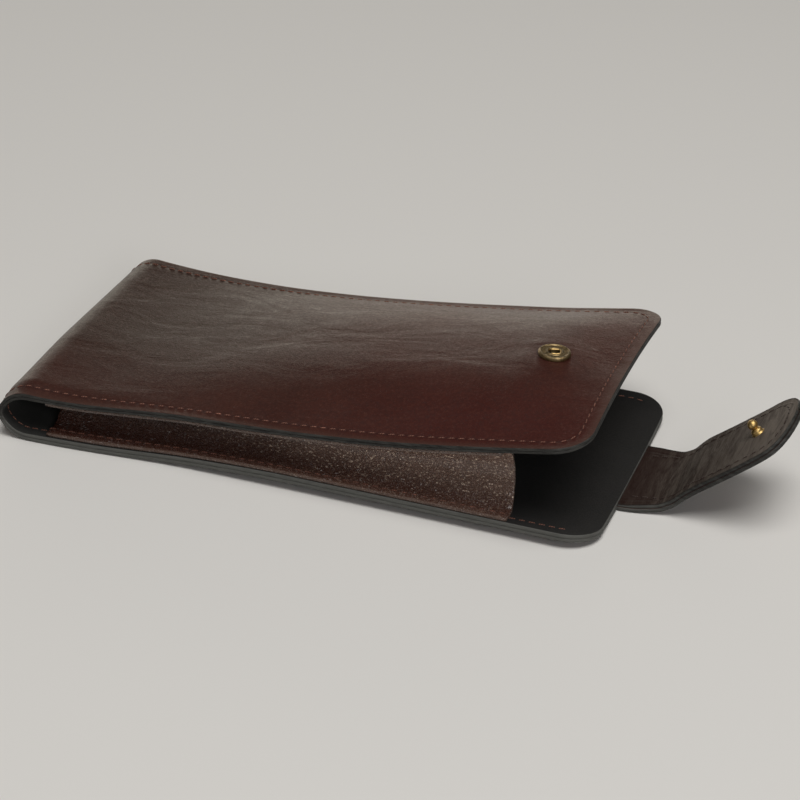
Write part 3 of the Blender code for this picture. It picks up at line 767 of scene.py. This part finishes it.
OUTER = outer_leather("outer_leather_look")
FLAP_OUTER = outer_leather("flap_outer_look")
LINING = lining_suede("lining_suede_look")
GUSSET = gusset_leather("gusset_leather_look")
FACING = facing_leather("facing_leather_look")
EDGE = painted_edge("painted_edge_look", 0.27)
FLAP_EDGE = painted_edge("flap_edge_look", 0.1)
THREAD = thread("seam_thread_look", (0.070, 0.026, 0.018), (0.24, 0.105, 0.072))
FLAP_THREAD = thread("flap_thread_look", (0.016, 0.009, 0.007), (0.045, 0.026, 0.020))
ANTIQUE = brass(
    "antique_brass_look", (0.40, 0.29, 0.145), (0.14, 0.108, 0.058), 0.2, 0.36, 0.00012
)
BRIGHT = brass("bright_brass_look", (0.62, 0.43, 0.17), (0.40, 0.26, 0.10), 0.05, 0.36, 0.00001)


socket_place = Vector(to_frame(front_place(np.array(SOCKET_U), np.array(0.0), np.array(0.0))))
socket_normal = Vector(front_normal(np.array(SOCKET_U), np.array(0.0)))


def punch(obj):
    """A round hole through a sheet of the front panel for the socket's cup."""
    cleared, reach = (SOCKET_HOLE + 1.1) * MM, 4 * MM
    bm = bmesh.new()
    bm.from_mesh(obj.data)

    def from_axis(place):
        """The way from the socket's axis to a place, and the height along the axis."""
        away = place - socket_place
        height = away.dot(socket_normal)
        return away - socket_normal * height, height

    inside = []
    for face in bm.faces:
        away, height = from_axis(face.calc_center_median())
        if away.length < cleared and abs(height) < reach:
            inside.append(face)
    bmesh.ops.delete(bm, geom=inside, context="FACES")
    rim = [e for e in bm.edges if e.is_boundary]
    for vert in {v for e in rim for v in e.verts}:
        away = from_axis(vert.co)[0]
        vert.co += away.normalized() * SOCKET_HOLE * MM - away
    made = bmesh.ops.bridge_loops(bm, edges=rim)
    for face in made["faces"]:
        face.material_index = 1
    bmesh.ops.recalc_face_normals(bm, faces=bm.faces)
    bm.to_mesh(obj.data)
    bm.free()


grid, lay, factor = strip_grid(OUTER_THICK / 2)
outer = shell("outer_strip", grid, OUTER_THICK * factor, lay, EDGE_ROUND, (OUTER, EDGE))
grid, lay, factor = strip_grid((OUTER_THICK + PANEL_THICK + LAYER_GAP) / 2)
thick = (PANEL_THICK - OUTER_THICK - LAYER_GAP) * factor
lining = shell("lining_strip", grid, thick, lay, LINING_ROUND, (LINING, EDGE))
for piece, nodes, slot in (
    (outer, ("back_outer", "front_outer"), "outer_leather"),
    (lining, ("back_lining", "front_lining"), "lining_leather"),
):
    punch(piece)
    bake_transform(piece)
    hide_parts(*nodes)


def gusset_grid(side):
    """The gusset's middle layer: flange on the back, wall bowed inwards, flange on the front."""
    depth = PANEL_THICK + FLANGE_THICK / 2 + LAYER_GAP
    edge = FLANGE_EDGE - EDGE_ROUND
    flange = np.linspace(edge, WALL_FOOT + 1.0, 8)
    wall = np.linspace(0, 1, 26)
    grid, lay = [], []
    for part in np.linspace(0, 1, 90):
        low_u, high_u = (
            GUSSET_START + part * (GUSSET_END - slant - GUSSET_START) for slant in (0, GUSSET_SLANT)
        )
        low = back_place(low_u, side * flange, depth)
        thinner = PANEL_THICK * (1 - pressed(HALF_WIDTH - flange[::-1], 1.0))
        high = front_place(high_u, side * flange[::-1], depth - thinner)
        foot = back_place(np.array(low_u), side * WALL_FOOT, depth)
        head = front_place(np.array(high_u), np.array(side * WALL_FOOT), depth)
        ripple = 0.22 * math.sin(low_u / 9.0) + 0.14 * math.sin(low_u / 3.7 + 1)
        bow = (WALL_BOW + ripple) * np.sin(math.pi * wall) ** 0.9
        middle = foot + wall[:, None] * (head - foot) - bow[:, None] * (0, side, 0)
        row = np.concatenate((low, middle, high))
        grid.append(row)
        gone = np.concatenate(([0], np.cumsum(np.linalg.norm(np.diff(row, axis=0), axis=1))))
        rim = np.minimum(gone, gone[-1] - gone)
        lay.append(np.stack((0 * gone + low_u, gone, rim + 0.3), -1))
    grid = np.array(grid)
    for _ in range(2):
        grid[:, 1:-1] = (grid[:, :-2] + 2 * grid[:, 1:-1] + grid[:, 2:]) / 4
    return grid, np.array(lay)


for side, name, node in (
    (-1, "gusset_near_skin", "gusset_near"),
    (1, "gusset_far_skin", "gusset_far"),
):
    grid, lay = gusset_grid(side)
    piece = shell(name, grid, FLANGE_THICK, lay, EDGE_ROUND, (GUSSET, GUSSET))
    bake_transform(piece)
    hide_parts(node)

# The seam runs round the strip but for the back's mouth end, where the flap is. Its outside
# stitches sink into the leather under the back, which rests on them
s, y, way = rounded_route(STRIP_LENGTH, SEAM_INSET)
sewn = s < STRIP_LENGTH - CORNER_RADIUS + 2
s, y, way = s[sewn], y[sewn], way[sewn]
sunk = UNDER_SINK * smooth((s - FRONT_LENGTH - FOLD_LENGTH + 6) / 4)
seam_out = stitches_on("seam_outside", strip_place, s, y, way, sunk, False, THREAD)
back_u = s - FRONT_LENGTH - FOLD_LENGTH + FOLD_RADIUS
on_front, on_back = s < FRONT_LENGTH, s > FRONT_LENGTH + FOLD_LENGTH
strip_u = np.where(on_front, FRONT_REACH - s, np.where(on_back, back_u, 0))
over_flange = (strip_u > GUSSET_START) & (strip_u < GUSSET_END) & (np.abs(y) > WALL_FOOT)
inner_depth = PANEL_THICK * thinning(s) + np.where(over_flange, FLANGE_THICK + LAYER_GAP, 0.0)
seam_in = stitches_on("seam_inside", strip_place, s, y, way, inner_depth, True, THREAD)
for piece in (seam_out, seam_in):
    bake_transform(piece)
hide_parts("front_seam_thread")
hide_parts("back_seam_thread")


# ---------------------------------------------------------------- the flap
def flap_grid(first, last, height, inset):
    """A layer of the flap between two stations, at a height above its middle."""
    tip = FLAP_LENGTH - FLAP_TIP_LENGTH
    rows = list(np.arange(first, min(last, tip) - 0.3, 0.6)) + [min(last, tip)]
    if last > tip:
        turns = np.radians(np.linspace(0, 90, 22))[1:-1]
        rows += list(tip + (FLAP_TIP_LENGTH - inset) * np.sin(turns))
    rows = np.array(rows)
    columns = dense_sides(FLAP_HALF_WIDTH, 4.0, 0.5, 1.2)
    half = flap_half_width(rows, inset)
    s = rows[:, None] + 0 * columns
    y = half[:, None] * columns
    rim = np.minimum(half[:, None] - np.abs(y), FLAP_LENGTH - s)
    uneven = FLAP_CREASE * creases(s, y, 8.0, 9.0) * smooth(s / 8)
    return flap_place(s, y, height + uneven), np.stack((s, y, rim + inset), -1)


flap_outer_height = -FLAP_THICK / 2 + FLAP_OUTER_LAYER / 2 - 0.04
facing_base = flap_outer_height + FLAP_OUTER_LAYER / 2 + LAYER_GAP / 2
outside_depth = FLAP_THICK / 2 + 0.04


def facing_thickness(s):
    """The facing is pared thin at the flap's root."""
    full = smooth(s / FACING_FULL_AT)
    return FACING_ROOT_LAYER + (FLAP_FACING_LAYER - FACING_ROOT_LAYER) * full


def flap_facing_grid(first, last):
    grid, lay = flap_grid(first, last, 0.0, EDGE_ROUND + FACING_INSET)
    thick = facing_thickness(lay[..., 0])
    normal = grid_normals(grid)
    normal *= np.sign(normal[..., 2:])
    return grid + normal * (facing_base + thick / 2)[..., None], lay, thick


def flap_pieces(prefix, first, last, facing_first, bodies, start, end, nodes, opens):
    """One stretch of the flap: its outer skin, then the facing sewn on it."""
    grid, lay = flap_grid(first, last, flap_outer_height, EDGE_ROUND)
    looks = (FLAP_OUTER, FLAP_EDGE)
    skin = shell(prefix + "_outer_skin", grid, FLAP_OUTER_LAYER, lay, EDGE_ROUND, looks, **opens)
    grid, lay, thick = flap_facing_grid(facing_first, last)
    looks = (FACING, FLAP_EDGE)
    inner = shell(prefix + "_facing_skin", grid, thick, lay, LINING_ROUND, looks, **opens)
    for piece, node, slot in zip((skin, inner), nodes, ("outer_leather", "facing_leather")):
        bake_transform(piece)
        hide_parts(node)


def flap_world(s, height=0.0):
    return tuple(to_frame(flap_place(np.array(s), np.array(0.0), np.array(height))))


# Each bend of the flap: its two bodies, and the stretch over which the leather bends
riser = (
    ("back", "flap_riser"),
    tuple(to_frame((FLAP_START_U - 0.6, 0, FLAP_START_HEIGHT))),
    tuple(to_frame((FLAP_START_U + 5.6, 0, FLAP_START_HEIGHT))),
)
wrap = (("flap_riser", "flap_tip"), flap_world(FLAP_SPLIT + 0.2), flap_world(23.3))
flap_pieces(
    "flap_lower", -FLAP_ROOT_IN, FLAP_SPLIT, -0.9, *riser,
    ("flap_riser_outer", "flap_riser_facing"), {"open_end": True},
)
flap_pieces(
    "flap_upper", FLAP_SPLIT, FLAP_LENGTH, FLAP_SPLIT, *wrap,
    ("flap_tip_outer", "flap_tip_facing"), {"open_start": True},
)


def flap_route(first, last):
    """The flap's seam over one stretch, as (s, y) arrays in one run from side to side."""
    tip_start = FLAP_LENGTH - FLAP_TIP_LENGTH
    side = FLAP_HALF_WIDTH - FLAP_SEAM_INSET
    turns = np.radians(np.linspace(0, 90, 14))
    s = np.concatenate(([first], tip_start + (FLAP_TIP_LENGTH - FLAP_SEAM_INSET) * np.sin(turns)))
    y = np.concatenate(([-side], -side * np.cos(turns) ** 0.85))
    return np.concatenate((s, s[-2::-1])), np.concatenate((y, -y[-2::-1]))


def flap_outside(s, y, depth):
    """Points of the flap, a depth below its middle towards its outer face."""
    return flap_place(s, y, -np.asarray(depth))


s, y, way = even_route(*flap_route(1.0, FLAP_LENGTH), skip_ends=0.6)
inside_height = facing_base + facing_thickness(s)
for label, keep, (bodies, start, end) in (
    ("lower", s < FLAP_SPLIT, riser),
    ("upper", s >= FLAP_SPLIT, wrap),
):
    for face, place, depth in (
        ("outside", flap_outside, outside_depth),
        ("inside", flap_place, inside_height),
    ):
        name = f"flap_{label}_stitches_{face}"
        depth = np.broadcast_to(depth, s.shape)[keep]
        piece = stitches_on(name, place, s[keep], y[keep], way[keep], depth, True, FLAP_THREAD)
        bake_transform(piece)
        if name == "flap_upper_stitches_inside":
            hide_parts("flap_tip_thread")


# ---------------------------------------------------------------- the press stud
def facing(place, normal, turn=0.0):
    """The matrix that stands Z along a normal at a place in the frame."""
    normal = Vector(normal).normalized()
    along = Vector((0, 1, 0)).cross(normal).normalized()
    turned = Matrix((along, normal.cross(along), normal)).transposed().to_4x4()
    return Matrix.Translation(place) @ turned @ Matrix.Rotation(turn, 4, "Z")


def turned_piece(name, profile, matrix, material, steps=72, ripple=None):
    """A turned piece: (radius, height) pairs in millimetres, spun about Z."""
    profile = np.array(profile, float)
    turns = 2 * math.pi * np.arange(steps) / steps
    points = []
    for radius, height in profile:
        for turn in turns:
            lift = ripple(radius, turn) if ripple else 0.0
            points.append((radius * math.cos(turn), radius * math.sin(turn), height + lift))
    mesh = make_mesh(name, np.array(points) * MM, ring_faces(len(profile), steps))
    mend(mesh, 1e-6)
    obj = link(name, mesh, material)
    obj.matrix_world = matrix
    return obj


def rounded_profile(corners, radius=0.12, steps=3):
    """A profile with its corners rounded by short arcs."""
    made = [corners[0]]
    for before, corner, after in zip(corners, corners[1:], corners[2:]):
        p, q, r = (np.array(a, float) for a in (before, corner, after))
        cut = min(radius, np.linalg.norm(p - q) / 2.2, np.linalg.norm(r - q) / 2.2)
        a = q + (p - q) / np.linalg.norm(p - q) * cut
        b = q + (r - q) / np.linalg.norm(r - q) * cut
        for t in np.linspace(0, 1, steps + 1):
            made.append(tuple((1 - t) ** 2 * a + 2 * t * (1 - t) * q + t * t * b))
    return made + [corners[-1]]


socket_at = facing(socket_place, socket_normal)


def cap_texture(radius, turn):
    """Fine radial milling on the cap's flat band."""
    band = bell((radius - 3.05) / 0.5)
    return 0.05 * band * math.cos(36 * turn) if radius > 2.2 else 0.0


cap = turned_piece(
    "socket_cap_ring",
    rounded_profile([
        (1.62, 0.35), (1.7, 0.95), (1.95, 1.22), (2.35, 1.22), (2.55, 1.02), (3.0, 1.06),
        (3.5, 1.06), (3.75, 1.3), (4.15, 1.3), (4.45, 0.95), (4.5, 0.3), (4.35, 0.02),
    ], 0.16),
    socket_at, ANTIQUE, 144, cap_texture,
)
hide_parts("socket_cap")
cup = turned_piece(
    "socket_cup_well",
    rounded_profile([
        (0.0, -2.5), (1.55, -2.5), (1.6, 0.3), (2.0, 0.4), (2.0, -2.3), (3.6, -2.35),
        (3.6, -2.75), (3.2, -3.05), (0.0, -3.15),
    ]),
    socket_at, ANTIQUE, 64,
)
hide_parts("socket_cup")


def wire_piece(name, points, radius, matrix, material):
    """A round wire along a smooth line."""
    sides = 10
    line = np.array(points, float)
    way = np.gradient(line, axis=0)
    way /= np.linalg.norm(way, axis=1, keepdims=True)
    across = np.cross(way, (0, 0, 1.0))
    across /= np.linalg.norm(across, axis=1, keepdims=True)
    over = np.cross(across, way)
    rings = [
        line + radius * (math.cos(t) * across + math.sin(t) * over)
        for t in 2 * math.pi * np.arange(sides) / sides
    ]
    points = np.stack(rings, 1).reshape(-1, 3)
    faces = ring_faces(len(line), sides, capped=True)
    obj = link(name, make_mesh(name, points * MM, faces), material)
    obj.matrix_world = matrix
    return obj


# A hairpin of wire lies across the hole, one leg on each side of the ball's neck
legs = (-WIRE_BAR, -WIRE_BAR / 2, 0, WIRE_BAR / 2)
wire_points = [(x, WIRE_SPREAD, WIRE_LEVEL) for x in legs]
wire_points += [
    (WIRE_BAR + 0.5 * math.cos(turn), WIRE_SPREAD * math.sin(turn), WIRE_LEVEL)
    for turn in np.radians(np.linspace(90, -90, 13))
]
wire_points += [(x, -WIRE_SPREAD, WIRE_LEVEL) for x in reversed(legs)]
wire_at = facing(socket_place, socket_normal, math.radians(WIRE_TURN))
spring = wire_piece("socket_spring_wire", wire_points, WIRE_RADIUS, wire_at, BRIGHT)
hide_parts("socket_spring")
for piece, slot in ((cap, "antique_brass"), (cup, "antique_brass"), (spring, "spring_brass")):
    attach(piece, "front")

stud_slope = float(flap_slope(np.array(STUD_AT)))
stud_at = facing(
    Vector(to_frame(flap_place(np.array(STUD_AT), np.array(0.0), np.array(FLAP_THICK / 2)))),
    (-math.sin(stud_slope), 0, math.cos(stud_slope)),
)
ball_turns = np.radians(np.linspace(0, 142, 20))
ball_profile = [
    (BALL_RADIUS * math.sin(t), BALL_HEIGHT + BALL_RADIUS * math.cos(t)) for t in ball_turns
]
ball_profile += [
    (0.88, 1.62), (1.0, 1.48), (1.3, 1.3), (1.52, 1.08), (1.6, 0.82), (1.56, 0.5),
    (1.62, 0.25), (1.8, 0.12), (1.9, -0.02), (1.85, -0.15),
]
ball = turned_piece("ball_stud_head", ball_profile, stud_at, BRIGHT, 56)
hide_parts("ball_stud")
rivet = turned_piece(
    "stud_rivet_cap",
    rounded_profile([
        (0.0, -3.05), (1.35, -2.95), (2.4, -2.7), (2.95, -2.35), (3.0, -2.1), (2.6, -2.05),
        (0.9, -2.05), (0.9, 0.0),
    ], 0.3, 4),
    stud_at, ANTIQUE, 64,
)
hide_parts("stud_rivet")
for piece, slot in ((ball, "antique_brass"), (rivet, "antique_brass")):
    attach(piece, "flap_tip")


# ---------------------------------------------------------------- floor, lights and camera
def plain(name, colour, roughness):
    n = Nodes(name)
    return n.finish((*colour, 1.0), roughness)


floor_mesh = bpy.data.meshes.new("floor")
floor_mesh.from_pydata([(-6, -6, 0), (6, -6, 0), (6, 6, 0), (-6, 6, 0)], [], [(0, 1, 2, 3)])
floor = link("floor", floor_mesh, plain("floor_look", (0.74, 0.73, 0.71), 0.75))
floor.location.z = -0.0001


def area_light(name, place, target, size, power, colour=(1, 1, 1)):
    data = bpy.data.lights.new(name, "AREA")
    data.shape, data.size, data.size_y = "RECTANGLE", *size
    data.energy, data.color = power, colour
    lamp = bpy.data.objects.new(name, data)
    bpy.context.scene.collection.objects.link(lamp)
    lamp.location = place
    lamp.rotation_mode = "QUATERNION"
    lamp.rotation_quaternion = (Vector(target) - Vector(place)).to_track_quat("-Z", "Y")
    return lamp


area_light("soft_back", (-0.95, 1.66, 0.22), (0.0, 0, 0.02), (2.3, 0.36), 8.2, (1.0, 0.925, 0.79))
area_light("soft_top", (0.35, -0.35, 1.6), (0.02, 0, 0), (1.1, 1.1), 21, (1.0, 0.98, 0.95))
area_light("soft_front", (0.75, -1.1, 0.6), (0.02, 0, 0.01), (0.5, 0.4), 4)
world = bpy.data.worlds.new("soft_room")
bpy.context.scene.world = world
world.use_nodes = True
world.node_tree.nodes["Background"].inputs["Color"].default_value = (1.0, 0.97, 0.93, 1)
world.node_tree.nodes["Background"].inputs["Strength"].default_value = 0.05

CAMERA_AT = (0.1973, -0.5801, 0.3310)
YAW, PITCH, ROLL = (math.radians(angle) for angle in (-16.20, 27.76, 3.65))
camera_data = bpy.data.cameras.new("camera")
camera_data.lens, camera_data.sensor_width = 111.6, 36
camera_data.shift_x, camera_data.shift_y = -0.0554, -0.0014
camera_data.clip_start, camera_data.clip_end = 0.01, 20
camera = bpy.data.objects.new("camera", camera_data)
bpy.context.scene.collection.objects.link(camera)
look = Vector((math.sin(YAW) * math.cos(PITCH), math.cos(YAW) * math.cos(PITCH), -math.sin(PITCH)))
level = Vector((math.cos(YAW), -math.sin(YAW), 0))
upward = level.cross(look)
right = level * math.cos(ROLL) + upward * math.sin(ROLL)
top = upward * math.cos(ROLL) - level * math.sin(ROLL)
turned = Matrix((right, top, -look)).transposed().to_4x4()
camera.matrix_world = Matrix.Translation(CAMERA_AT) @ turned
bpy.context.scene.camera = camera
bpy.context.scene.view_settings.view_transform = "Standard"
